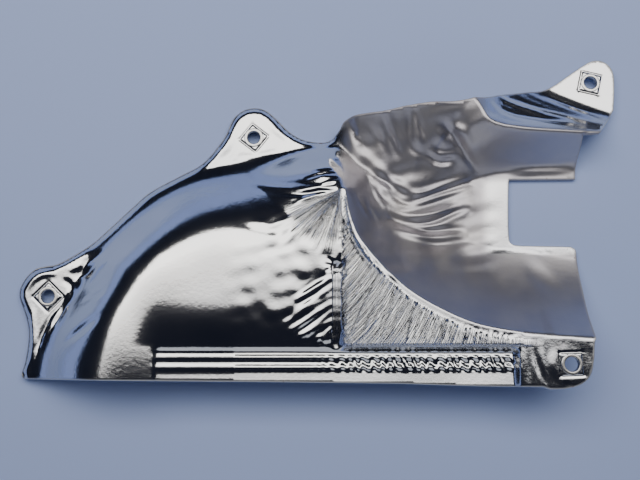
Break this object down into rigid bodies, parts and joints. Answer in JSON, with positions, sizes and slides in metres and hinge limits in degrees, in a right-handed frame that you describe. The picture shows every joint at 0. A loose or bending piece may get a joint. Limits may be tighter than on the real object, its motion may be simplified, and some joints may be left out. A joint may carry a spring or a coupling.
{
  "type": "exhaust manifold heat shield",
  "caption": "Pressed double-skin sheet shield for an exhaust manifold, with a domed body, an open channel and rolled eyelets in its ears.",
  "frame": {"origin": "centre of the bounding box in plan, at its lowest plane", "axes": "+X along the length towards the notched end, +Y from the open straight edge towards the upper ear, +Z from the manifold outwards"},
  "size_m": [0.3978, 0.2214, 0.0404],
  "materials": {
    "outer_skin": "bright rolled sheet, aluminised, mirror-like with fine wrinkles",
    "insulation_mat": "pressed fibre mat, dull",
    "inner_skin": "rolled sheet, satin",
    "plate": "plain steel, satin",
    "eyelet": "rolled steel, satin"
  },
  "bodies": {
    "root": {"outer_skin": "outer_skin", "insulation_mat": "insulation_mat", "inner_skin": "inner_skin", "plate_left": "plate", "plate_top": "plate", "plate_right": "plate", "plate_corner": "plate", "eyelet_left": "eyelet", "eyelet_top": "eyelet", "eyelet_right": "eyelet", "eyelet_corner": "eyelet"}
  },
  "joints": []
}
